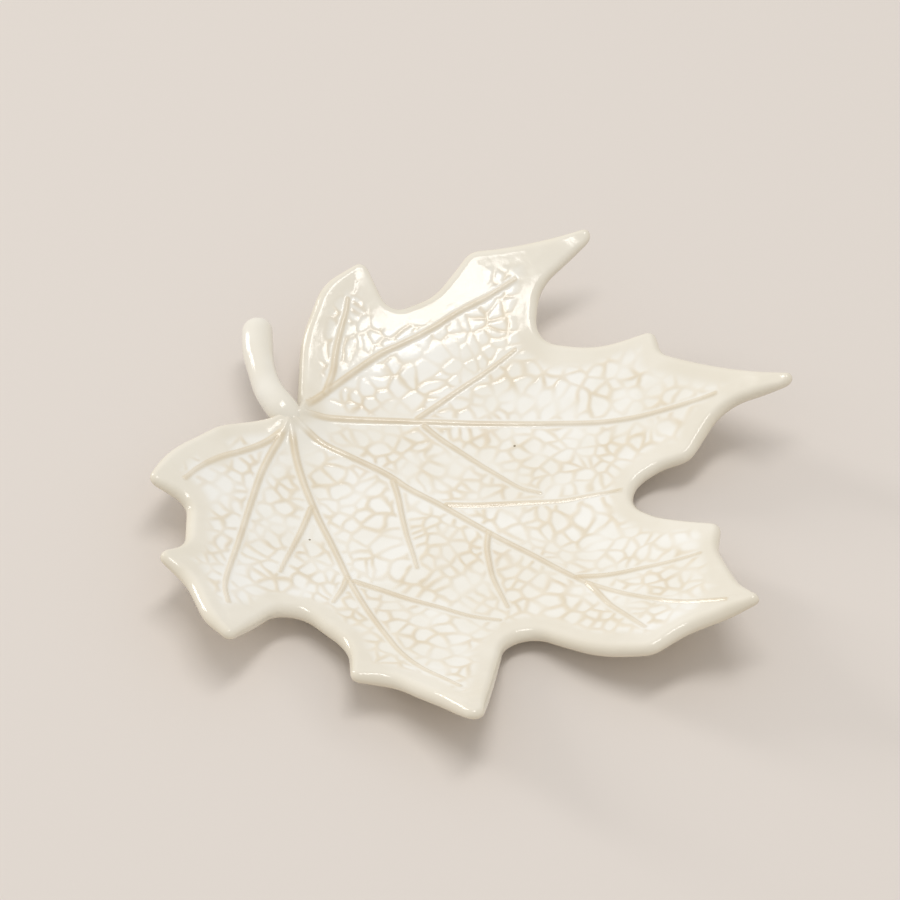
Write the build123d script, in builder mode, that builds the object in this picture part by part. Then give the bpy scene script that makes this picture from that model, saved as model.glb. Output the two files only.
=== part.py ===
from build123d import *
from math import asin, cos, degrees, hypot, radians, sin, sqrt, tan
import os

# A ring dish: a leaf pressed from a slab of stoneware, turned up under its lobes, with a
# rolled stem luted on at its base. Millimetres, +Z up. The origin is the middle of the flat
# foot under the leaf, and +X runs along the midrib to the tip of the middle lobe.

# Leaf, in plan: from its base to the tip of the middle lobe, and across the side lobes
leaf_length = 140.0
leaf_width = 146.0

# Slab: its thickness, the flat left between the two roundings of its edge, and how much
# wider than half the slab the leaf's tips are rounded
slab_thickness = 4.4
edge_flat = 0.8
tip_spare = 0.6

# Dish, in section: a nearly flat floor that runs into a tighter flare under the lobes
floor_radius = 300.0
floor_edge = 25.0
flare_radius = 100.0
foot_depth = 0.8

# Height of the point on the dish's axis that every cut edge leans towards, which keeps the
# cut square to the flared slab
lean_height = 130.0
lean_end_share = 0.5

# Veins: ridges that stand proud of the leaf, each the top of a thin round rod
vein_height = 0.65
vein_width = 1.8
branch_share = 0.75
vein_end_share = 0.5

# Stem: a coil of clay with a rounded end, and the lump of its root pressed onto the leaf
stem_diameter = 7.2
stem_sink = 2.4
stem_end_rise = 2.0
root_diameter = 10.4
root_height = 3.4
root_round = 2.6
root_depth = 1.5

# Overrun of cuts past the slab
overrun = 5.0

# Roundings of the outline's corners, as shares of the leaf's length
tip_share = (slab_thickness / 2 + tip_spare) / leaf_length
notch_share = 0.032
sinus_share = 0.046
crook_share = 0.064
bend_share = 0.093
sweep_share = 0.214

# The most of a side of the outline that the roundings at its two ends take up
rounded_share = 0.9

# Corners of the outline before rounding, anticlockwise from the notch at the stem: a share
# of the leaf's length, a share of its width, and the rounding
outline_shares = [
    (-0.340, 0.019, notch_share),
    (-0.412, -0.096, bend_share),
    (-0.429, -0.207, sweep_share),
    (-0.408, -0.281, tip_share),
    (-0.345, -0.258, notch_share),
    (-0.282, -0.343, crook_share),
    (-0.295, -0.400, tip_share),
    (-0.230, -0.404, bend_share),
    (-0.154, -0.454, bend_share),
    (-0.091, -0.469, tip_share),
    (-0.101, -0.311, sinus_share),
    (0.033, -0.333, bend_share),
    (0.090, -0.402, tip_share),
    (0.145, -0.366, crook_share),
    (0.243, -0.372, sweep_share),
    (0.336, -0.399, tip_share),
    (0.202, -0.138, sinus_share),
    (0.371, -0.138, sweep_share),
    (0.457, -0.114, notch_share),
    (0.476, -0.054, bend_share),
    (0.570, 0.024, tip_share),
    (0.505, 0.057, sweep_share),
    (0.416, 0.130, bend_share),
    (0.391, 0.178, tip_share),
    (0.283, 0.164, bend_share),
    (0.182, 0.170, sinus_share),
    (0.227, 0.253, sinus_share),
    (0.262, 0.282, notch_share),
    (0.260, 0.379, crook_share),
    (0.415, 0.454, tip_share),
    (0.106, 0.427, notch_share),
    (0.072, 0.455, tip_share),
    (-0.001, 0.395, sweep_share),
    (-0.103, 0.359, sinus_share),
    (-0.145, 0.434, crook_share),
    (-0.083, 0.577, tip_share),
    (-0.221, 0.459, sweep_share),
    (-0.277, 0.417, tip_share),
    (-0.287, 0.329, bend_share),
    (-0.331, 0.262, notch_share),
    (-0.413, 0.301, tip_share),
    (-0.443, 0.225, bend_share),
    (-0.415, 0.129, sweep_share),
]

# The seven main veins, from the hub to the tip of their lobes, in shares as above
main_vein_shares = [
    [(-0.324, -0.051), (-0.351, -0.116), (-0.371, -0.193), (-0.375, -0.233)],
    [(-0.328, -0.032), (-0.303, -0.121), (-0.255, -0.226), (-0.199, -0.340), (-0.150, -0.400)],
    [(-0.314, -0.023), (-0.209, -0.114), (-0.065, -0.208), (0.064, -0.279), (0.160, -0.316), (0.250, -0.339)],
    [(-0.314, -0.004), (-0.151, 0.009), (0.022, 0.005), (0.206, -0.005), (0.380, -0.007), (0.500, 0.007)],
    [(-0.324, 0.021), (-0.224, 0.092), (-0.058, 0.199), (0.086, 0.279), (0.209, 0.360), (0.271, 0.411)],
    [(-0.331, 0.040), (-0.321, 0.086), (-0.296, 0.190), (-0.256, 0.275), (-0.213, 0.358), (-0.168, 0.445)],
    [(-0.321, 0.086), (-0.351, 0.138), (-0.372, 0.186), (-0.400, 0.245)],
]

# The branches that leave them
branch_vein_shares = [
    [(-0.176, 0.126), (-0.164, 0.177), (-0.139, 0.255), (-0.116, 0.324)],
    [(-0.163, 0.132), (-0.079, 0.117), (0.006, 0.110), (0.082, 0.116)],
    [(-0.031, 0.006), (0.066, 0.082), (0.156, 0.151), (0.182, 0.171)],
    [(0.236, -0.005), (0.324, 0.049), (0.399, 0.105)],
    [(-0.131, 0.008), (-0.074, -0.048), (-0.016, -0.100), (0.029, -0.137)],
    [(0.060, 0.003), (0.099, -0.049), (0.153, -0.094), (0.186, -0.116)],
    [(0.265, -0.006), (0.326, -0.040), (0.414, -0.071)],
    [(-0.205, -0.117), (-0.169, -0.212), (-0.148, -0.273)],
    [(-0.065, -0.208), (-0.046, -0.269)],
    [(-0.058, -0.212), (0.045, -0.188), (0.145, -0.164), (0.191, -0.147)],
]

# The stem's route in plan, from the middle of its root on the leaf out to its end
stem_route_shares = [(-0.335, 0.000), (-0.385, 0.010), (-0.428, 0.039), (-0.467, 0.078), (-0.493, 0.112)]


def leaf_point(share):
    """The place in plan of a pair of shares of the leaf's length and width."""
    return (share[0] * leaf_length, share[1] * leaf_width)


# Centres of the two arcs of the dish's section, as (distance from its axis, height), and how
# far out the section goes before it is trimmed to the outline
floor_angle = asin(floor_edge / floor_radius)
floor_top = slab_thickness - foot_depth
floor_centre = (0.0, floor_top + floor_radius)
flare_centre = (
    (floor_radius - flare_radius) * sin(floor_angle),
    floor_centre[1] - (floor_radius - flare_radius) * cos(floor_angle),
)
dish_reach = max(hypot(*leaf_point(corner)) for corner in outline_shares) + overrun
flare_angle = asin((dish_reach - flare_centre[0]) / flare_radius) - floor_angle


def top_height(x, y):
    """The height of the leaf's upper face over a place in plan, without the veins."""
    out = hypot(x, y)
    if out < floor_edge:
        return floor_centre[1] - sqrt(floor_radius**2 - out**2)
    return flare_centre[1] - sqrt(flare_radius**2 - (out - flare_centre[0]) ** 2)


def corner_spread(corner):
    """How much further out a corner lies at the blade's foot than halfway through the slab."""
    halfway = top_height(*leaf_point(corner)) - slab_thickness / 2
    return (lean_height + overrun) / (lean_height - halfway)


def uncrowded(corners, rounds):
    """The roundings of a loop's corners, each made less where two of them crowd a side."""
    count = len(corners)
    reaches = []
    for index, corner in enumerate(corners):
        before = corners[index - 1] - corner
        after = corners[(index + 1) % count] - corner
        reaches.append(rounds[index] / tan(radians(before.get_angle(after)) / 2))
    fitted = []
    for index, corner in enumerate(corners):
        crowding = 1
        for other in (index - 1, (index + 1) % count):
            side = (corners[other] - corner).length
            crowding = max(crowding, (reaches[index] + reaches[other]) / (rounded_share * side))
        fitted.append(max(rounds[index] / crowding, tip_share * leaf_length))
    return fitted


def vein_rod(shares, size):
    """One vein: a rod through sunk circles, each proud by the vein's height there."""
    places = [leaf_point(share) for share in shares]
    points = [Vector(x, y, top_height(x, y)) for x, y in places]
    last = len(points) - 1
    with BuildPart() as vein:
        for index, point in enumerate(points):
            taper = 1 - (1 - vein_end_share) * index / last
            height = size * taper * vein_height
            half_width = size * taper * vein_width / 2
            rod_radius = (half_width**2 + height**2) / (2 * height)
            ahead = points[min(index + 1, last)] - points[max(index - 1, 0)]
            middle = point + Vector(0, 0, height - rod_radius)
            with BuildSketch(Plane(origin=middle, x_dir=ahead.cross(Vector(0, 0, 1)), z_dir=ahead)):
                Circle(rod_radius)
        loft()
    return vein.part


veins = [vein_rod(shares, 1) for shares in main_vein_shares]
veins += [vein_rod(shares, branch_share) for shares in branch_vein_shares]

# Leaf: the dish's section turned about its axis, cut to the outline by walls that lean with
# the flare, its edge rounded, the foot wiped flat and the veins laid on
with BuildPart() as leaf_dish:
    with BuildSketch(Plane.YZ):
        with BuildLine():
            floor_turn = degrees(floor_angle)
            flare_turn = degrees(flare_angle)
            upper_floor = JernArc((0, floor_top), (1, 0), floor_radius, floor_turn)
            upper_flare = JernArc(upper_floor @ 1, upper_floor % 1, flare_radius, flare_turn)
            under_floor = JernArc((0, -foot_depth), (1, 0), floor_radius + slab_thickness, floor_turn)
            under_flare = JernArc(under_floor @ 1, under_floor % 1, flare_radius + slab_thickness, flare_turn)
            Line(upper_floor @ 0, under_floor @ 0)
            Line(upper_flare @ 1, under_flare @ 1)
        make_face()
    revolve(axis=Axis.Z)

    with BuildSketch(Plane.XY.offset(-overrun)) as outline:
        with BuildLine():
            spreads = [corner_spread(corner) for corner in outline_shares]
            corners = [spread * Vector(*leaf_point(corner)) for spread, corner in zip(spreads, outline_shares)]
            rounds = [spread * corner[2] * leaf_length for spread, corner in zip(spreads, outline_shares)]
            FilletPolyline(*corners, radius=uncrowded(corners, rounds), close=True)
        make_face()
    lean_end = lean_end_share * lean_height
    with BuildSketch(Plane.XY.offset(lean_end)):
        add(scale(outline.sketch_local, by=(lean_height - lean_end) / (lean_height + overrun)))
    loft(ruled=True, mode=Mode.INTERSECT)

    flared_faces = leaf_dish.faces().filter_by(GeomType.REVOLUTION)
    rim = flared_faces.edges().filter_by(GeomType.CIRCLE, reverse=True)
    fillet(rim, radius=(slab_thickness - edge_flat) / 2)
    split(bisect_by=Plane.XY)
    add(veins)


# Stem: a coil along its route, its free end round, its root pressed flat on the leaf
hub = leaf_point(stem_route_shares[0])
hub_height = top_height(*hub)
coil_height = hub_height + stem_diameter / 2 - stem_sink
route = []
for index, share in enumerate(stem_route_shares):
    climb = stem_end_rise * index / (len(stem_route_shares) - 1)
    route.append((*leaf_point(share), coil_height + climb))

with BuildPart() as stem:
    with BuildSketch(Plane.XY.offset(hub_height - root_depth)):
        with Locations(hub):
            Circle(root_diameter / 2)
    extrude(amount=root_depth + root_height)
    fillet(stem.edges().group_by(Axis.Z)[-1], radius=root_round)
    with BuildLine():
        coil = Spline(*route)
    with BuildSketch(Plane(origin=coil @ 0, z_dir=coil % 0)):
        Circle(stem_diameter / 2)
    sweep(path=coil)
    with Locations(coil @ 0, coil @ 1):
        Sphere(stem_diameter / 2)
    add(leaf_dish.part, mode=Mode.SUBTRACT)


os.makedirs("parts", exist_ok=True)
leaf_dish.part.label = "leaf_dish"
stem.part.label = "stem"
export_step(leaf_dish.part, "parts/leaf_dish.step")
export_step(stem.part, "parts/stem.step")
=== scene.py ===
import math

import bpy
import numpy as np
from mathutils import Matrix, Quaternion, Vector
from mathutils.geometry import delaunay_2d_cdt


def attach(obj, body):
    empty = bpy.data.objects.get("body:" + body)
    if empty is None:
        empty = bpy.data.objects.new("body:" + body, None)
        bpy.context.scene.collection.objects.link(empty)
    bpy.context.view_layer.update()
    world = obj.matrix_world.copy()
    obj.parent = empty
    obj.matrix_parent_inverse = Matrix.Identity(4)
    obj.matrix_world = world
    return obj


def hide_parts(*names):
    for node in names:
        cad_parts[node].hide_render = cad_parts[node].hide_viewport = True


# A ring dish: a leaf pressed from a slab of stoneware, its veins raised, its lobes turned up,
# a rolled stem luted on at its base, and all of it under a glossy cream glaze.
# The shapes are worked out in millimetres and turned into metres when a mesh is made.
MM = 0.001

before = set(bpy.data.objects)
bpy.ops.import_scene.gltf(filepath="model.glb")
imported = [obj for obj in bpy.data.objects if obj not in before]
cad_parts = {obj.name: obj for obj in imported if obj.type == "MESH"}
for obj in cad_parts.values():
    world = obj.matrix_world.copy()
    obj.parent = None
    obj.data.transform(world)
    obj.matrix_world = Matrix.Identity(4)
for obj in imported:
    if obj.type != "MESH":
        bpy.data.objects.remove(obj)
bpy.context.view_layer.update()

# Leaf: its length and width in plan, half the thickness of its slab, and the height of its
# middle surface over the table in the middle of the dish
LEAF_LENGTH = 140.0
LEAF_WIDTH = 146.0
HALF_SLAB = 2.2
MIDDLE_HEIGHT = 1.4

# Section of the dish: a nearly flat floor that runs into a tighter flare, and a wiped foot with
# the ring round its edge over which the glaze begins
FLOOR_RADIUS = 300.0
FLOOR_EDGE = 25.0
FLARE_RADIUS = 100.0
FOOT_RADIUS = 21.5
GLAZE_BEGINS, GLAZE_WHOLE = FOOT_RADIUS - 1.0, FOOT_RADIUS + 0.6

# Corners of the outline, anticlockwise from the notch at the stem: shares of the leaf's
# length and width, and the rounding in millimetres. Then the reach of the bell that softens
# the whole edge, and the points that each rounding is drawn with.
OUTLINE_SHARES = [
    (-0.340, 0.019, 4.5), (-0.412, -0.096, 13), (-0.429, -0.207, 30), (-0.408, -0.281, 2.2),
    (-0.345, -0.258, 4.5), (-0.282, -0.343, 9), (-0.295, -0.400, 2.2), (-0.230, -0.404, 13),
    (-0.154, -0.454, 13), (-0.093, -0.467, 1.5), (-0.101, -0.311, 6.5), (0.033, -0.333, 13),
    (0.090, -0.402, 2.2), (0.145, -0.366, 9), (0.243, -0.372, 30), (0.336, -0.399, 2.4),
    (0.202, -0.138, 6.5), (0.371, -0.138, 30), (0.457, -0.114, 4.5), (0.476, -0.054, 13),
    (0.566, 0.024, 1.5), (0.505, 0.057, 30), (0.416, 0.130, 13), (0.391, 0.178, 2.4),
    (0.283, 0.164, 13), (0.182, 0.170, 6.5), (0.227, 0.253, 6.5), (0.262, 0.282, 4.5),
    (0.260, 0.379, 9), (0.395, 0.447, 1.6), (0.106, 0.427, 4.5), (0.072, 0.455, 2.2),
    (-0.001, 0.395, 30), (-0.103, 0.359, 6.5), (-0.145, 0.434, 9), (-0.093, 0.560, 1.6),
    (-0.221, 0.459, 30), (-0.277, 0.417, 4.5), (-0.287, 0.329, 13), (-0.331, 0.262, 4.5),
    (-0.413, 0.301, 2.2), (-0.443, 0.225, 13), (-0.415, 0.129, 30),
]
OUTLINE_SOFTNESS = 0.5
ARC_POINTS = 13

# Edge of the slab: how much less than HALF_SLAB its half thickness is all round, how much less
# again at the tips, and how far in the slab has its whole thickness. A tip begins at the first
# curvature of the edge, one over its radius, and is whole at the second, and the curvature is
# softened along the edge by these reaches, one after the other.
EDGE_THINNER = 0.25
TIP_THINNER = 0.75
THINNER_REACH = 12
TIP_BEGINS, TIP_WHOLE = 0.02, 0.2
CURVATURE_SOFTNESS = (3.5, 2.5)

# Main veins from the hub to the tips of their lobes, and their branches, in millimetres
MAIN_VEINS = [
    [(-45.2, 11), (-47.2, 16.8), (-49.1, 20.2), (-50.7, 23.6), (-52.1, 27.2), (-53.4, 30.7),
     (-54.8, 33.4)],
    [(-46.6, 3), (-45, 12.5), (-43.4, 20.3), (-41.5, 27.7), (-39.3, 32.7), (-35.8, 40.1),
     (-32.5, 47.7), (-29.8, 52.3), (-25.6, 60.6)],
    [(-46, 2), (-38.6, 7.7), (-31.3, 13.4), (-25.6, 17.5), (-17.9, 22.8), (-8.1, 29.1),
     (1.9, 35.2), (12.1, 40.8), (18, 44.5), (23.5, 48.6), (33.5, 56.2)],
    [(-46, -0.4), (-38.2, -0.8), (-30.5, 0.4), (-21.2, 1.4), (-13.8, 0.9), (-5.6, 1.2),
     (3.1, 0.8), (11.8, 0.3), (20.2, 0), (28.9, -0.7), (37.5, -1.4), (45.5, -1.4),
     (53.2, -1), (60.6, -0.5), (71.1, 1.2)],
    [(-45.6, -2), (-39.7, -8.2), (-34.1, -13), (-29.2, -16.6), (-24.1, -20.2), (-18.6, -23.7),
     (-13.2, -27.4), (-9.1, -30.3), (-4.1, -33.4), (2.2, -37.1), (8.9, -40.7), (15.5, -44.1),
     (22.4, -46.2), (29.7, -47.1), (34.2, -47.9)],
    [(-46.2, -2), (-44.7, -9.5), (-42.4, -17.6), (-39.2, -25.3), (-35.7, -33), (-31.9, -41),
     (-27.8, -49.6), (-24.9, -54.5), (-21, -58.4)],
    [(-45.8, -5), (-47.3, -11.7), (-49.1, -17), (-50.9, -22.2), (-51.9, -28.2), (-51.8, -33.9)],
]
BRANCH_VEINS = [
    [(-24.6, 19.3), (-22.9, 25.9), (-21.3, 31.7), (-19.4, 37.2), (-17.6, 42.9), (-16.3, 47.3)],
    [(-22, 18.4), (-17.1, 17.6), (-11.1, 17.1), (-5, 16.5), (0.9, 16.1), (6.7, 15.8), (11.5, 17)],
    [(-4.3, 2.1), (2, 6.4), (9.3, 12), (16.8, 17.3), (21.9, 22), (27.2, 26.5)],
    [(33.8, -0.7), (40, 3), (45.3, 7.2), (50.6, 11.2), (55.8, 15.4)],
    [(-18.3, 0.5), (-14.8, -2.5), (-10.4, -7), (-5.9, -11.4), (-2.2, -14.6), (1.6, -18.1)],
    [(8.5, 0.5), (10.8, -3.5), (13.9, -7.1), (17.3, -10.6), (21.4, -13.7), (25.7, -16.8)],
    [(37.2, -1.5), (40.5, -3.1), (45.7, -5.8), (51, -7.7), (57.9, -10.4)],
    [(-28, -18.3), (-25.9, -24.2), (-23.7, -30.9), (-22, -36.3), (-20.7, -39.8)],
    [(-8.7, -30.9), (-7.4, -34.6), (-6.4, -39.3)],
    [(-6.8, -30.5), (-0.9, -29), (6.3, -27.5), (13.3, -25.6), (20.3, -24), (26.7, -21.4)],
]
HUB = (-46.8, 0.0)

# Stem: its centre line from the root out to the free end, each point with its height and radius,
# how flat its section is, how uneven the rolling left it, how far that unevenness turns in a
# millimetre, in radians, the radius at which its end is closed, and how much of the margin's
# smooth glaze and of the rim's thin glaze it has. Both shares are kept low, so the stem is lighter
# than the margin: painted light for the fill that falls on it.
STEM = [
    (-43.2, -0.6, 6.0, 1.9), (-46.0, -0.1, 7.1, 2.8), (-48.2, 0.3, 8.5, 3.5),
    (-50.6, 0.8, 9.5, 3.7), (-53.9, 1.9, 10.4, 3.45), (-56.3, 3.2, 10.8, 3.35),
    (-58.8, 5.1, 11.2, 3.35), (-61.1, 7.1, 11.6, 3.4), (-63.4, 9.3, 12.0, 3.5),
    (-65.5, 11.8, 12.3, 3.65), (-67.6, 14.5, 12.5, 3.75), (-70.3, 18.0, 12.6, 3.8),
]
STEM_FLATNESS = 0.94
STEM_UNEVENNESS, STEM_TWIST = 0.02, 0.55
STEM_CLOSED = 0.02
# Low shares make the stem lighter than the margin: painted light standing in for its fill
STEM_MARGIN, STEM_RIM = 0.6, 0.05

# Relief of the leaf's face: the height and width of the main veins, the branches and the net,
# the size of the net's cells, and how much of a vein's height and width is gone at its tip
MAIN_HEIGHT, MAIN_WIDTH = 0.64, 1.9
BRANCH_HEIGHT, BRANCH_WIDTH = 0.5, 1.6
NET_HEIGHT, NET_WIDTH, NET_CELL = 0.17, 1.15, 3.7
VEIN_TAPER = 0.4

# The smooth margin round the net: how far from the edge it is whole, where it is gone, and how
# far that line wavers. It stands a little higher than the face.
MARGIN_WHOLE, MARGIN_GONE, MARGIN_WAVER = 3.8, 6.8, 1.2
MARGIN_RISE, FACE_DROP = 0.12, 0.1

# The slow and the quicker waves of the hand in the clay, the clay that is heaped at the hub, and
# the clay that is smoothed up to the stem over the first share of its length
SLOW_WAVE, QUICK_WAVE = 0.12, 0.03
HUB_RISE, HUB_REACH = 1.0, 6.5
ROOT_RISE, ROOT_RADIUS, ROOT_SPREAD, ROOT_SHARE = 1.0, 3.0, 2.8, 0.2

# The net: how far its seeds are moved off their lattice, in cells, and how far and over what
# size its plan is warped, with the first seed of that noise
NET_JITTER = 0.46
NET_WARPS = [(1.3, 9, 3), (0.45, 2.4, 5)]

# Strength of the net: its mean, its swing from patch to patch and its least, how far from the
# hub it begins and is whole, how far that line wavers, and how far from a vein it is whole
NET_MEAN, NET_SWING, NET_LEAST = 0.72, 0.6, 0.12
NET_BEGINS, NET_WHOLE, NET_WAVER = 8, 14, 2
NET_BESIDE_VEIN = 1.0

# Places in plan without net, and how far they reach: beside the left vein and at the tips.
# They are wholly smooth up to the first share of their reach, and gone from the second.
SMOOTH_SHARE, GONE_SHARE = 0.7, 1.2
SMOOTH_PLACES = [
    (-46, 38, 5), (-41, 45.5, 6), (-35.5, 54, 6), (-53.5, -22, 5), (-20, 69, 9), (48, 60, 9),
    (72, 2, 8), (43, -52, 7), (-14, -60, 7), (-8, 52, 5),
]

# Where the net's cells are long: a place in plan, its reach, the direction in degrees, and how
# much they are drawn out there
DRAWN_OUT = [
    (4, 42, 11, 125, 0.5), (22, 18, 14, 120, 0.5), (-2, -18, 12, 75, 0.45),
    (22, -34, 12, 40, 0.4), (-30, -8, 11, 45, 0.4), (-33, 30, 12, 60, 0.4),
    (44, 12, 10, 100, 0.35), (-24, -38, 10, 20, 0.35),
]

# Two walls of the net run into each other softly where their distances differ by less than about
# one over this, in millimetres
CORNER_SHARPNESS = 4.2

# How strongly the glaze is tinted over the crests of the veins and of the net, and how far from
# the hub the tint of the veins begins and is whole
VEIN_TINT, NET_TINT = 0.84, 0.68
TINT_BEGINS, TINT_WHOLE = 3, 7

# Across a vein the tint is whole up to the first share of the vein's width and gone from the
# second. It dips in the middle, by so much and over so far, and fades by so much of the taper. The
# dip is partly the glaze, which is thinnest at both sides of a crest, and partly a painted
# highlight along the top of the crest.
CREST_SHARE, CREST_END_SHARE = 0.22, 0.62
CREST_DIP, DIP_REACH, CREST_FADE = 0.3, 0.3, 0.45

# The browner line down each flank of a vein, partly thin glaze and partly painted shade where the
# vein meets the pooled glaze, as a share of its width and with its reach, and how far from a wall
# of the net its tint is whole and gone
FLANK_SHARE, FLANK_REACH = 0.42, 0.26
NET_TINT_WHOLE, NET_TINT_GONE = 0.05, 1.0

# Spacing of the mesh over the net, over the smooth margin, over the underside and along the
# edge, how far from the edge the fine mesh begins, the rows of points round the rim's half
# round, the points round the stem, the spacing along it, and the rows of its domed end
FINE, PLAIN, UNDER, EDGE_STEP = ((0.38, 0.9, 2.0, 0.7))
FINE_FROM = 3.2
RIM_ROWS = 13
STEM_SPOKES = 40
STEM_STEP = 0.6
DOME_ROWS = 10


def rise(out):
    """Height of the dish's surface over its middle at a distance from its axis: an arc of
    FLOOR_RADIUS, then an arc of FLARE_RADIUS that leaves it without a break."""
    turn = math.asin(FLOOR_EDGE / FLOOR_RADIUS)
    centre_out = (FLOOR_RADIUS - FLARE_RADIUS) * math.sin(turn)
    centre_up = FLOOR_RADIUS - (FLOOR_RADIUS - FLARE_RADIUS) * math.cos(turn)
    floor = FLOOR_RADIUS - np.sqrt(FLOOR_RADIUS**2 - np.minimum(out, FLOOR_EDGE) ** 2)
    flare = centre_up - np.sqrt(FLARE_RADIUS**2 - (np.maximum(out, FLOOR_EDGE) - centre_out) ** 2)
    return np.where(out < FLOOR_EDGE, floor, flare)


def middle(points):
    """Heights of the slab's middle surface over points in plan."""
    return MIDDLE_HEIGHT + rise(np.hypot(points[:, 0], points[:, 1]))


def steepness(points):
    """Gradient of the middle surface over points in plan, as vectors."""
    nudge = 0.01
    out = np.maximum(np.hypot(points[:, 0], points[:, 1]), 1e-6)
    slope = (rise(out + nudge) - rise(out - nudge)) / (2 * nudge)
    return points * (slope / out)[:, None]


def upright(points):
    """How much further the slab's half thickness reaches when it is measured straight up: the
    root of one and the square of the steepness."""
    return np.sqrt(1 + (steepness(points) ** 2).sum(1))


def smooth_step(low, high, value):
    """From 0 at low to 1 at high, level at both: three squares less two cubes."""
    t = np.clip((value - low) / (high - low), 0, 1)
    return t * t * (3 - 2 * t)


def resampled(points, step, closed=True):
    """The same line with its points at equal steps along it."""
    loop = np.vstack([points, points[:1]]) if closed else points
    along = np.concatenate([[0], np.cumsum(np.linalg.norm(np.diff(loop, axis=0), axis=1))])
    count = max(int(round(along[-1] / step)), 4)
    places = np.linspace(0, along[-1], count, endpoint=not closed)
    return np.stack([np.interp(places, along, loop[:, axis]) for axis in range(loop.shape[1])], 1)


def softened(values, reach, step):
    """Values round a closed line, each averaged with its neighbours by a bell of that reach."""
    count = int(3 * reach / step) + 1
    shifts = range(-count, count + 1)
    bell = np.exp(-0.5 * (np.arange(-count, count + 1) * step / reach) ** 2)
    bell /= bell.sum()
    return sum(weight * np.roll(values, shift, 0) for weight, shift in zip(bell, shifts))


def rounded_outline(step):
    """The leaf's edge in plan: straight runs between arcs at the corners, then softened."""
    table = np.array(OUTLINE_SHARES)
    corners = table[:, :2] * (LEAF_LENGTH, LEAF_WIDTH)
    rounding = table[:, 2]
    back = np.roll(corners, 1, 0) - corners
    ahead = np.roll(corners, -1, 0) - corners
    back /= np.linalg.norm(back, axis=1, keepdims=True)
    ahead /= np.linalg.norm(ahead, axis=1, keepdims=True)
    half = np.arccos(np.clip((back * ahead).sum(1), -1, 1)) / 2
    inward = back + ahead
    inward /= np.linalg.norm(inward, axis=1, keepdims=True)
    centres = corners + inward * (rounding / np.sin(half))[:, None]
    start = corners + back * (rounding / np.tan(half))[:, None] - centres
    end = corners + ahead * (rounding / np.tan(half))[:, None] - centres
    from_angle = np.arctan2(start[:, 1], start[:, 0])
    turn = (np.arctan2(end[:, 1], end[:, 0]) - from_angle + math.pi) % (2 * math.pi) - math.pi
    angles = from_angle[:, None] + turn[:, None] * np.linspace(0, 1, ARC_POINTS)
    circle = np.stack([np.cos(angles), np.sin(angles)], 2)
    arcs = centres[:, None] + rounding[:, None, None] * circle
    return softened(resampled(arcs.reshape(-1, 2), step), OUTLINE_SOFTNESS, step)


def smooth_line(points, step):
    """A line through the points that turns smoothly at each of them, with equal steps: between
    two points it is the cubic whose slope at each is half the run between its neighbours."""
    given = np.array(points, float)
    ends = np.vstack([2 * given[0] - given[1], given, 2 * given[-1] - given[-2]])
    t = np.linspace(0, 1, 9)[:-1, None, None]
    a, b, c, d = ends[:-3], ends[1:-2], ends[2:-1], ends[3:]
    bend = (2 * a - 5 * b + 4 * c - d) * t**2 + (3 * b - a - 3 * c + d) * t**3
    curve = 0.5 * (2 * b + (c - a) * t + bend)
    whole = np.vstack([curve.transpose(1, 0, 2).reshape(-1, given.shape[1]), given[-1:]])
    return resampled(whole, step, closed=False)


def nearest_on(points, line, closed=False):
    """For each point, its distance to a line and how far along the line the nearest place is,
    from 0 to 1. Done a few thousand points at a time."""
    start = line if closed else line[:-1]
    span = (np.roll(line, -1, 0) if closed else line[1:]) - start
    length2 = (span**2).sum(1)
    distance = np.empty(len(points))
    along = np.empty(len(points))
    at_once = 4000
    for first in range(0, len(points), at_once):
        part = points[first:first + at_once]
        away = part[:, None] - start[None]
        t = np.clip((away * span[None]).sum(2) / length2, 0, 1)
        gap = away - t[..., None] * span[None]
        square = (gap**2).sum(2)
        best = square.argmin(1)
        rows = np.arange(len(part))
        distance[first:first + at_once] = np.sqrt(square[rows, best])
        along[first:first + at_once] = (best + t[rows, best]) / len(start)
    return distance, along


def soft_noise(points, size, seed):
    """Smooth random heights between -1 and 1 over the plan, with bumps of about that size:
    random values on a square lattice, blended by smooth steps."""
    side = 64
    table = np.random.default_rng(seed).uniform(-1, 1, (side, side))
    place = points / size + side // 2
    cell = np.floor(place).astype(int)
    part = place - cell
    part = part * part * (3 - 2 * part)
    x0, y0 = cell[:, 0] % side, cell[:, 1] % side
    x1, y1 = (x0 + 1) % side, (y0 + 1) % side
    low = table[x0, y0] * (1 - part[:, 0]) + table[x1, y0] * part[:, 0]
    high = table[x0, y1] * (1 - part[:, 0]) + table[x1, y1] * part[:, 0]
    return low * (1 - part[:, 1]) + high * part[:, 1]


def soft_shift(points, size, first_seed):
    """Soft noise in both directions of the plan."""
    return np.stack([soft_noise(points, size, first_seed + axis) for axis in (0, 1)], 1)


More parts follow.
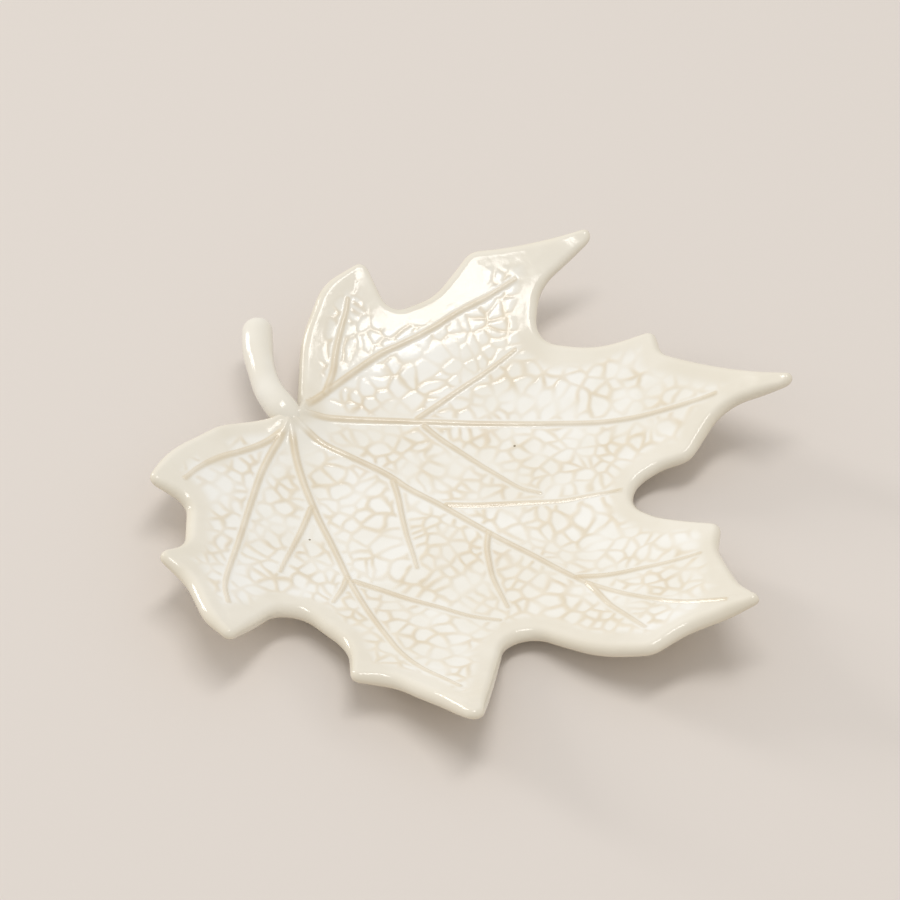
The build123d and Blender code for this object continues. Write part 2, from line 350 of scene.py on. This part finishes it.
def net_walls(points):
    """Distance, in millimetres, from each point to the nearest wall of the net of fine veins.
    The net is the walls between jittered seeds, in a plan that is warped, and squeezed along
    the directions in DRAWN_OUT so that the cells there are long. The distances to the two
    nearest walls run into each other softly, which rounds the corners of the cells."""
    side = 96
    jitter = np.random.default_rng(7).uniform(-NET_JITTER, NET_JITTER, (side, side, 2))
    place = points.copy()
    for warp, size, first_seed in NET_WARPS:
        place += warp * soft_shift(points, size, first_seed)
    squeezes = []
    for x, y, reach, angle, amount in DRAWN_OUT:
        direction = np.array([math.cos(math.radians(angle)), math.sin(math.radians(angle))])
        away = points - (x, y)
        squeeze = amount * np.exp(-((away / reach) ** 2).sum(1))
        place -= (squeeze * (away @ direction))[:, None] * direction
        squeezes.append((squeeze, direction))
    place /= NET_CELL
    base = np.floor(place).astype(int)
    seeds, gaps = [], []
    for dx in (-2, -1, 0, 1, 2):
        for dy in (-2, -1, 0, 1, 2):
            cell = base + (dx, dy)
            seed = cell + 0.5 + jitter[cell[:, 0] % side, cell[:, 1] % side]
            seeds.append(seed)
            gaps.append(((place - seed) ** 2).sum(1))
    seeds, gaps = np.array(seeds), np.array(gaps)
    own, *nearby = np.argsort(gaps, axis=0)[:3]
    rows = np.arange(len(points))
    total = 0
    for other in nearby:
        apart = seeds[other, rows] - seeds[own, rows]
        between = np.linalg.norm(apart, axis=1)
        across = apart / between[:, None]
        for squeeze, direction in squeezes:
            across = across - (squeeze * (across @ direction))[:, None] * direction
        wall = (gaps[other, rows] - gaps[own, rows]) / (2 * between)
        distance = wall * NET_CELL / np.linalg.norm(across, axis=1)
        total = total + np.exp(-CORNER_SHARPNESS * distance)
    return np.maximum(-np.log(total) / CORNER_SHARPNESS, 0)


def ridge(distance, width):
    """A rounded ridge one high: a bell across, a fifth high at each end of its width."""
    fall = 1.6
    return np.exp(-((distance / (0.5 * width)) ** 2) * fall)


STEM_LINE = smooth_line(STEM, STEM_STEP)

# The edge of the slab: for each place round it, the outward direction in plan, the curvature,
# which is nothing where the plan turns inwards, and the half thickness, which is least at the tips
edge = rounded_outline(EDGE_STEP)
run = np.roll(edge, -1, 0) - np.roll(edge, 1, 0)
run /= np.linalg.norm(run, axis=1, keepdims=True)
outward = np.stack([run[:, 1], -run[:, 0]], 1)
tight = np.maximum((np.roll(run, 1, 0) * outward).sum(1), 0) / EDGE_STEP
for reach in CURVATURE_SOFTNESS:
    tight = softened(tight, reach, EDGE_STEP)
edge_half = HALF_SLAB - EDGE_THINNER - TIP_THINNER * smooth_step(TIP_BEGINS, TIP_WHOLE, tight)


def thinning(gap, where):
    """How much less than HALF_SLAB the half thickness is at a distance from the edge, beside a
    place along it: what the edge lacks, eased away by THINNER_REACH from it."""
    half = np.append(edge_half, edge_half[:1])
    beside = np.interp(where * len(edge), np.arange(len(edge) + 1), half)
    return (HALF_SLAB - beside) * (1 - smooth_step(0, THINNER_REACH, gap))


def smooth_margin(points, gap):
    """How much of the smooth margin each point is: all of it near the edge and in
    SMOOTH_PLACES, and none in the field of the net."""
    wavy = gap + MARGIN_WAVER * soft_noise(points, size=7, seed=11)
    margin = 1 - smooth_step(MARGIN_WHOLE, MARGIN_GONE, wavy)
    for x, y, reach in SMOOTH_PLACES:
        away = np.hypot(points[:, 0] - x, points[:, 1] - y)
        covers = 1 - smooth_step(SMOOTH_SHARE * reach, GONE_SHARE * reach, away)
        margin = np.maximum(margin, covers)
    return margin


def veins(points):
    """The main veins and branches at each point: their rise, how much of a crest and of a flank it
    is, and its distance from the side of the nearest vein. The glaze is thinnest at both sides of
    a crest, and the top of the crest also carries a painted highlight, so the tint of a crest dips
    in its middle. The browner line down the flanks is partly thin glaze and partly painted shade
    where the vein meets the pooled glaze."""
    rises, crest, flank = np.zeros((3, len(points)))
    clear = np.full(len(points), np.inf)
    kinds = ((MAIN_VEINS, MAIN_HEIGHT, MAIN_WIDTH), (BRANCH_VEINS, BRANCH_HEIGHT, BRANCH_WIDTH))
    for lines, tall, wide in kinds:
        for line in lines:
            far, along = nearest_on(points, smooth_line(line, step=1.0))
            taper = 1 - VEIN_TAPER * along
            breadth = wide * taper
            rises = np.maximum(rises, tall * taper * ridge(far, breadth))
            tint = 1 - smooth_step(CREST_SHARE, CREST_END_SHARE, far / breadth)
            tint *= 1 - CREST_FADE * (1 - taper)
            # The dip: a painted highlight along the top of the crest, as well as the glaze being
            # thicker there than at the sides
            tint *= 1 - CREST_DIP * np.exp(-((far / DIP_REACH) ** 2))
            crest = np.maximum(crest, tint)
            # The flank's browner line: partly thin glaze, partly painted shade in the crease where
            # the vein meets the pooled glaze
            side = (far - FLANK_SHARE * breadth) / FLANK_REACH
            flank = np.maximum(flank, taper * np.exp(-(side**2)))
            clear = np.minimum(clear, far - 0.5 * breadth)
    return rises, crest, flank, clear


def relief(points):
    """Rise of the leaf's face above a plain slab, and what the glaze does there: heights, how
    much of a crest, how much of a flank, and how much of the smooth margin each point is.
    The net comes and goes in patches, and keeps off the veins, the margin and the hub."""
    gap, where = nearest_on(points, edge, closed=True)
    margin = smooth_margin(points, gap)
    rises, crest, flank, clear = veins(points)
    from_hub = np.hypot(points[:, 0] - HUB[0], points[:, 1] - HUB[1])
    wavy = from_hub + NET_WAVER * soft_noise(points, size=6, seed=12)
    field = (1 - margin) * smooth_step(NET_BEGINS, NET_WHOLE, wavy)
    patches = NET_MEAN + NET_SWING * soft_noise(points, size=4.5, seed=13)
    patches = np.clip(patches, NET_LEAST, 1)
    strength = field * smooth_step(0, NET_BESIDE_VEIN, clear) * patches
    walls = net_walls(points)

    height = MARGIN_RISE * margin - FACE_DROP - thinning(gap, where)
    height += np.maximum(rises, NET_HEIGHT * strength * ridge(walls, NET_WIDTH))
    height += SLOW_WAVE * soft_noise(points, size=12, seed=14)
    height += QUICK_WAVE * soft_noise(points, size=4, seed=15)
    height += HUB_RISE * np.exp(-((from_hub / HUB_REACH) ** 4))
    from_root, root_along = nearest_on(points, STEM_LINE[:, :2])
    fillet = np.clip(1 - (from_root - ROOT_RADIUS) / ROOT_SPREAD, 0, 1) ** 2
    height += ROOT_RISE * smooth_step(0, ROOT_SHARE, root_along) * fillet

    off_hub = smooth_step(TINT_BEGINS, TINT_WHOLE, from_hub)
    net_crest = NET_TINT * strength * (1 - smooth_step(NET_TINT_WHOLE, NET_TINT_GONE, walls))
    return height, np.maximum(VEIN_TINT * crest * off_hub, net_crest), flank * off_hub, margin


def lattice(step):
    """Points on a lattice of equal triangles over the leaf's box in plan, with rows the root of
    three quarters of a step apart."""
    low, high = edge.min(0), edge.max(0)
    rows = np.arange(low[1], high[1], step * math.sqrt(0.75))
    columns = np.arange(low[0], high[0], step)
    x, y = np.meshgrid(columns, rows)
    x = x + (np.arange(len(rows)) % 2)[:, None] * step / 2
    return np.stack([x.ravel(), y.ravel()], 1)


def inside(points, loop):
    """Whether each point lies within a closed line, by counting the sides that a ray crosses."""
    after = np.roll(loop, -1, 0)
    result = np.zeros(len(points), bool)
    at_once = 8000
    for first in range(0, len(points), at_once):
        x = points[first:first + at_once, 0, None]
        y = points[first:first + at_once, 1, None]
        crosses = (loop[:, 1] > y) != (after[:, 1] > y)
        with np.errstate(divide="ignore", invalid="ignore"):
            slant = (after[:, 0] - loop[:, 0]) / (after[:, 1] - loop[:, 1])
            at = loop[:, 0] + (y - loop[:, 1]) * slant
        result[first:first + at_once] = (crosses & (x < at)).sum(1) % 2 == 1
    return result


def filled(border, inner):
    """Triangles that fill a closed border in plan and pass through the inner points."""
    points = np.vstack([border, inner])
    count = len(border)
    sides = [(i, (i + 1) % count) for i in range(count)]
    only_inside, tolerance = 1, 1e-7
    cut = delaunay_2d_cdt([Vector(p) for p in points], sides, [], only_inside, tolerance)
    faces, came_from = cut[2], cut[3]
    old = np.array([given[0] if given else -1 for given in came_from])
    return old[np.array(faces)]


def joined_rows(index):
    """Four-sided faces between neighbouring closed rows of points."""
    after = np.roll(index, -1, 1)
    return np.stack([index[:-1], after[:-1], after[1:], index[1:]], 2).reshape(-1, 4).tolist()


def mesh_object(name, points, faces, attributes):
    """An object from points in millimetres and faces, smooth, with a number per point for each
    attribute named."""
    mesh = bpy.data.meshes.new(name)
    mesh.from_pydata((points * MM).tolist(), [], faces)
    mesh.polygons.foreach_set("use_smooth", [True] * len(mesh.polygons))
    for title, values in attributes.items():
        layer = mesh.attributes.new(title, "FLOAT", "POINT")
        layer.data.foreach_set("value", np.ascontiguousarray(values, dtype=np.float32))
    mesh.update()
    thing = bpy.data.objects.new(name, mesh)
    bpy.context.scene.collection.objects.link(thing)
    return thing


def rim_half_round(angles):
    """Points of the rim, in rows from its underside to the face: a half round of the edge's half
    thickness, carried along the edge square to the slab's middle surface, one row an angle."""
    grade = steepness(edge)
    lift = (grade * outward).sum(1)
    tangent = np.column_stack([outward, lift]) / np.sqrt(1 + lift**2)[:, None]
    normal = np.column_stack([-grade, np.ones(len(edge))])
    normal /= np.linalg.norm(normal, axis=1, keepdims=True)
    tangent -= normal * (tangent * normal).sum(1)[:, None]
    tangent /= np.linalg.norm(tangent, axis=1, keepdims=True)
    centre = np.column_stack([edge, middle(edge)]) - tangent * edge_half[:, None]
    across = np.cos(angles)[:, None, None] * tangent + np.sin(angles)[:, None, None] * normal
    return centre + edge_half[:, None] * across


def face_inner(border):
    """Points in plan over the face: fine over the net, wider apart over the smooth margin."""
    fine, plain = lattice(FINE), lattice(PLAIN)
    fine, plain = fine[inside(fine, border)], plain[inside(plain, border)]
    fine_gap, _ = nearest_on(fine, edge, closed=True)
    plain_gap, _ = nearest_on(plain, edge, closed=True)
    between = (plain_gap <= FINE_FROM - 0.5 * PLAIN) & (plain_gap > HALF_SLAB + 0.45 * PLAIN)
    return np.vstack([fine[fine_gap > FINE_FROM], plain[between]])


def under_inner(border):
    """Points in plan over the underside, wide apart."""
    points = lattice(UNDER)
    points = points[inside(points, border)]
    gap, _ = nearest_on(points, border, closed=True)
    return points[gap > 0.5 * UNDER]


def leaf_mesh():
    """The leaf as one closed skin: the half round of its rim, its face filled over the plan with
    the relief, and its underside filled plain, cut flat at the table where the foot is wiped."""
    angles = np.linspace(-math.pi / 2, math.pi / 2, RIM_ROWS)
    rim = rim_half_round(angles)
    count = len(edge)
    index = np.arange(RIM_ROWS * count).reshape(RIM_ROWS, count)
    top_border, low_border = rim[-1, :, :2], rim[0, :, :2]
    top, low = face_inner(top_border), under_inner(low_border)
    top_faces, low_faces = filled(top_border, top), filled(low_border, low)

    plan = np.vstack([top_border, top])
    height, crest, flank, margin = relief(plan)
    top_height = middle(plan) + (HALF_SLAB + height) * upright(plan)
    low_half = HALF_SLAB - thinning(*nearest_on(low, edge, closed=True))
    low_height = np.maximum(middle(low) - low_half * upright(low), 0)

    # The rim's upper half follows the relief at its seam with the face
    share = np.maximum(np.sin(angles), 0) ** 2
    rim[:, :, 2] += share[:, None] * (top_height[:count] - rim[-1, :, 2])
    rim[:, :, 2] = np.maximum(rim[:, :, 2], 0)

    top_points = np.column_stack([top, top_height[count:]])
    low_points = np.column_stack([low, low_height])
    points = np.vstack([rim.reshape(-1, 3), top_points, low_points])
    top_index = index.size + np.arange(len(top))
    low_index = index.size + len(top) + np.arange(len(low))
    top_map = np.concatenate([index[-1], top_index])
    low_map = np.concatenate([index[0], low_index])
    faces = joined_rows(index) + top_map[top_faces].tolist()
    faces += low_map[low_faces][:, ::-1].tolist()

    def on_face(values, elsewhere):
        """Values of the face, and another on the rest of the rim and underneath."""
        whole = np.full(len(points), float(elsewhere))
        whole[top_map] = values
        return whole

    def on_rim(values, top_value, low_value):
        """A value for each row of the rim, and one on the face and one underneath."""
        rest = np.repeat([float(top_value), float(low_value)], [len(top), len(low)])
        return np.concatenate([np.repeat(values, count), rest])

    bare = np.zeros(len(points))
    out = np.hypot(low[:, 0], low[:, 1])
    bare[low_index] = 1 - smooth_step(GLAZE_BEGINS, GLAZE_WHOLE, out)
    return mesh_object("glazed_leaf", points, faces, {
        "crest": on_face(crest, 0),
        "flank": on_face(flank, 0),
        "margin": on_face(margin, 1),
        "rim": on_rim(np.cos(angles) ** 2, 0, 0),
        "under": on_rim(np.maximum(-np.sin(angles), 0), 0, 1),
        "foot": bare,
    })


def stem_mesh():
    """The stem: a round section, a little flattened, carried along its centre line. At its free
    end the radius falls as a quarter circle, so it is domed. The root ends inside the slab."""
    centres, radii = STEM_LINE[:, :3], STEM_LINE[:, 3]
    along = np.concatenate([[0], np.cumsum(np.linalg.norm(np.diff(centres, axis=0), axis=1))])
    length, end_radius = along[-1], radii[-1]
    left = length - along
    dome = np.sqrt(np.maximum(1 - (1 - np.minimum(left / end_radius, 1)) ** 2, 0))
    on_dome = length - end_radius * (1 - np.sin(np.linspace(0, math.pi / 2, DOME_ROWS)))
    places = np.concatenate([along[left > end_radius], on_dome])
    centres = np.stack([np.interp(places, along, centres[:, axis]) for axis in range(3)], 1)
    radii = np.interp(places, along, radii * dome)
    radii[-1] = STEM_CLOSED
    ahead = np.gradient(centres, axis=0)
    ahead /= np.linalg.norm(ahead, axis=1, keepdims=True)
    side = np.cross(ahead, [0, 0, 1.0])
    side /= np.linalg.norm(side, axis=1, keepdims=True)
    up = np.cross(side, ahead)
    angles = np.linspace(0, 2 * math.pi, STEM_SPOKES, endpoint=False)
    uneven = 1 + STEM_UNEVENNESS * np.sin(places[:, None] * STEM_TWIST + 2 * angles[None])
    across = np.cos(angles)[:, None] * side[:, None]
    across = across + STEM_FLATNESS * np.sin(angles)[:, None] * up[:, None]
    rows = centres[:, None] + (radii[:, None] * uneven)[..., None] * across
    index = np.arange(len(places) * STEM_SPOKES).reshape(len(places), STEM_SPOKES)
    faces = joined_rows(index) + [index[0, ::-1].tolist(), index[-1].tolist()]
    return mesh_object("glazed_stem", rows.reshape(-1, 3), faces, {
        "margin": np.full(index.size, STEM_MARGIN),
        "rim": np.full(index.size, STEM_RIM),
    })


def colour(code):
    """Scene-linear colour from an sRGB hex code."""
    values = [int(code[i:i + 2], 16) / 255 for i in (0, 2, 4)]
    return [v / 12.92 if v <= 0.04045 else ((v + 0.055) / 1.055) ** 2.4 for v in values] + [1.0]


def new_material(name):
    """A material with no nodes yet."""
    material = bpy.data.materials.new(name)
    material.use_nodes = True
    material.node_tree.nodes.clear()
    return material


def add(material, kind, settings, **inputs):
    """Adds a node. Settings are the node's own. Inputs are values, or outputs to link, and their
    names have underscores for spaces, or are _ and a number. Returns the node's outputs."""
    node = material.node_tree.nodes.new(kind)
    for name, value in settings.items():
        setattr(node, name, value)
    for name, value in inputs.items():
        socket = node.inputs[int(name[1:]) if name[0] == "_" else name.replace("_", " ")]
        if isinstance(value, bpy.types.NodeSocket):
            material.node_tree.links.new(value, socket)
        else:
            socket.default_value = value
    return node.outputs


# Kinds of node and settings that the glaze uses more than once
MIX, BLEND = "ShaderNodeMix", {"data_type": "RGBA"}
RANGE, EASED = "ShaderNodeMapRange", {"interpolation_type": "SMOOTHSTEP"}
NOISE, MATH, ATTRIBUTE = "ShaderNodeTexNoise", "ShaderNodeMath", "ShaderNodeAttribute"

# Sizes of the glaze's patterns in millimetres: its clouds, the patches and the longer stretches
# where its tan varies, the cells that may hold a speck, a speck's radius, and the waves of the
# surface. The fine pits of a fired glaze are about 0.2 mm across and the grain of the clay about
# 0.3 mm. Both are too fine to show in the render, so both are drawn coarser than they are.
CLOUD, THIN_PATCH, THIN_STRETCH = 16.67, 4.545, 10.0
SPECK_CELL, SPECK_RADIUS = 11.11, 0.311
WAVE, FINE_PIT, CLAY_GRAIN = 3.846, 0.3846, 1.111

# The share of the cells that hold no speck
SPECKLESS_SHARE = 0.86


def cream_glaze():
    """Glossy cream glaze on buff stoneware, dipped and fired, with the foot wiped bare."""
    # To the eye the glaze is wet and even: close to white where it pools between the veins, tan
    # where it runs thin over crests and rims and the clay shows through, with a few iron specks
    # and slow waves that break up its glints. The bare clay of the foot is matt.
    glaze = new_material("cream_glaze_on_stoneware")
    place = add(glaze, "ShaderNodeTexCoord", {})["Object"]
    pattern = {"Vector": place, "Detail": 2.0}

    # Pooled glaze, and the smoother and creamier glaze of the margin, both faintly clouded
    noise = add(glaze, NOISE, {}, Vector=place, Scale=1 / (CLOUD * MM), Detail=3.0)[0]
    cloud = add(glaze, RANGE, EASED, Value=noise, From_Min=0.35, From_Max=0.65)[0]
    pool = add(glaze, MIX, BLEND, _0=cloud, _6=colour("f8f7f2"), _7=colour("f2efe6"))[2]
    smooth = add(glaze, MIX, BLEND, _0=cloud, _6=colour("f0ebdf"), _7=colour("eae4d6"))[2]
    margin = add(glaze, ATTRIBUTE, {"attribute_name": "margin"})["Fac"]
    base = add(glaze, MIX, BLEND, _0=margin, _6=pool, _7=smooth)[2]

    # Tan of the thin glaze, which is browner over some stretches
    noise = add(glaze, NOISE, {}, Scale=1 / (THIN_PATCH * MM), **pattern)[0]
    patch = add(glaze, RANGE, EASED, Value=noise, From_Min=0.3, From_Max=0.7)[0]
    tan = add(glaze, MIX, BLEND, _0=patch, _6=colour("d9c6a2"), _7=colour("e5d5b8"))[2]
    noise = add(glaze, NOISE, {}, Scale=1 / (THIN_STRETCH * MM), **pattern)[0]
    brown = add(glaze, RANGE, EASED, Value=noise, From_Min=0.5, From_Max=0.72, To_Max=0.4)[0]
    tan = add(glaze, MIX, BLEND, _0=brown, _6=tan, _7=colour("cfb284"))[2]

    # How much of a tinted colour shows, and that colour: the tan of thin glaze over crests and
    # rims; down the flanks of the veins a browner line, partly thin glaze and partly painted shade
    # where a vein meets the pooled glaze; and a tan that grows down the lower half of the rim and
    # covers the underside
    for name, most, tinted_colour in (
        ("crest", 0.85, tan),
        # Partly thin glaze, partly painted shade at the foot of each vein
        ("flank", 0.32, colour("cfbb94")),
        ("rim", 0.35, colour("e3d8bf")),
        # Tanner down the lower half of the rim and over all of the underside
        ("under", 0.75, colour("dfd2b6")),
    ):
        amount = add(glaze, ATTRIBUTE, {"attribute_name": name})["Fac"]
        amount = add(glaze, MATH, {"operation": "MULTIPLY"}, _0=amount, _1=most)[0]
        base = add(glaze, MIX, BLEND, _0=amount, _6=base, _7=tinted_colour)[2]

    # Iron specks: a round dot in the middle of the few cells whose random colour is high
    cells = add(glaze, "ShaderNodeTexVoronoi", {}, Vector=place, Scale=1 / (SPECK_CELL * MM))
    reach = SPECK_RADIUS / SPECK_CELL
    dot = add(glaze, MATH, {"operation": "LESS_THAN"}, _0=cells["Distance"], _1=reach)[0]
    pick = add(glaze, "ShaderNodeSeparateColor", {}, Color=cells["Color"])[0]
    rare = add(glaze, MATH, {"operation": "GREATER_THAN"}, _0=pick, _1=SPECKLESS_SHARE)[0]
    speck = add(glaze, MATH, {"operation": "MULTIPLY"}, _0=dot, _1=rare)[0]
    speck = add(glaze, MATH, {"operation": "MULTIPLY"}, _0=speck, _1=0.8)[0]
    base = add(glaze, MIX, BLEND, _0=speck, _6=base, _7=colour("6b5a3c"))[2]

    # Bare clay of the foot
    foot = add(glaze, ATTRIBUTE, {"attribute_name": "foot"})["Fac"]
    grain = add(glaze, NOISE, {}, Vector=place, Scale=1 / (CLAY_GRAIN * MM), Detail=4.0)[0]
    clay = add(glaze, MIX, BLEND, _0=grain, _6=colour("cdb896"), _7=colour("bca583"))[2]
    base = add(glaze, MIX, BLEND, _0=foot, _6=base, _7=clay)[2]
    roughness = add(glaze, RANGE, {}, Value=foot, To_Min=0.13, To_Max=0.75)[0]

    # The slow waves of a fired surface, and its fine pits on them
    bump = "ShaderNodeBump"
    wave = add(glaze, NOISE, {}, Scale=1 / (WAVE * MM), Roughness=0.45, **pattern)[0]
    pits = add(glaze, NOISE, {}, Scale=1 / (FINE_PIT * MM), **pattern)[0]
    normal = add(glaze, bump, {}, Strength=0.12, Distance=0.0006, Height=wave)[0]
    normal = add(glaze, bump, {}, Strength=0.03, Distance=0.0002, Height=pits, Normal=normal)[0]
    surface = add(
        glaze, "ShaderNodeBsdfPrincipled", {}, Base_Color=base, Roughness=roughness, IOR=1.52,
        Normal=normal,
    )[0]
    add(glaze, "ShaderNodeOutputMaterial", {}, Surface=surface)
    return glaze


def matt_board():
    """A floor of painted board, pale and matt."""
    # To the eye it is an even ground without gloss or pattern, on which the shadow shows
    board = new_material("pale_matt_floor")
    paint = colour("dfd8d2")
    surface = add(board, "ShaderNodeBsdfPrincipled", {}, Base_Color=paint, Roughness=0.8)[0]
    add(board, "ShaderNodeOutputMaterial", {}, Surface=surface)
    return board


# The two pieces of the dish, under one glaze
leaf = leaf_mesh()
stem = stem_mesh()
cream = cream_glaze()
leaf.data.materials.append(cream)
stem.data.materials.append(cream)
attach(leaf, "root")
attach(stem, "root")
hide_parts("leaf_dish")
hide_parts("stem")

# Floor
bpy.ops.mesh.primitive_plane_add(size=6, location=(0, 0, 0))
floor = bpy.context.object
floor.name = "floor"
floor.data.materials.append(matt_board())

# Camera: the photograph's angle, a long lens above the right-hand side of the leaf
EYE = Vector((379.81, -545.19, 726.5)) * MM
AIM = Vector((-16.07, 20.19, -0.8)) * MM
LENS_ANGLE = 12
camera = bpy.data.objects.new("camera", bpy.data.cameras.new("camera"))
bpy.context.scene.collection.objects.link(camera)
camera.location = EYE
camera.rotation_mode = "QUATERNION"
camera.rotation_quaternion = (AIM - EYE).to_track_quat("-Z", "Y")
camera.data.lens = camera.data.sensor_width / 2 / math.tan(math.radians(LENS_ANGLE / 2))
camera.data.clip_start = 0.05
bpy.context.scene.camera = camera


def panel(name, place, size, power, turn):
    """A soft white panel that faces the dish, turned by so many degrees in its own plane. Its
    place and size are in metres and its power in watts."""
    data = bpy.data.lights.new(name, "AREA")
    data.shape = "RECTANGLE"
    data.size, data.size_y = size
    data.energy = power
    data.color = colour("fffdfa")[:3]
    light = bpy.data.objects.new(name, data)
    bpy.context.scene.collection.objects.link(light)
    light.location = place
    light.rotation_mode = "QUATERNION"
    facing = (-light.location).to_track_quat("-Z", "Y")
    light.rotation_quaternion = facing @ Quaternion((0, 0, 1), math.radians(turn))


# Light: a soft panel nearly overhead, another low beside the stem, and a pale room all round
panel("overhead", place=(0.07, 0.03, 1.3), size=(0.75, 0.28), power=5.2, turn=-37)
panel("side_window", place=(-1.5, -0.1, 0.58), size=(0.34, 0.7), power=6.0, turn=0)
world = bpy.data.worlds.new("room")
bpy.context.scene.world = world
world.use_nodes = True
background = world.node_tree.nodes["Background"].inputs
background["Color"].default_value = colour("f3f1ee")
background["Strength"].default_value = 0.71
bpy.context.scene.view_settings.view_transform = "Standard"
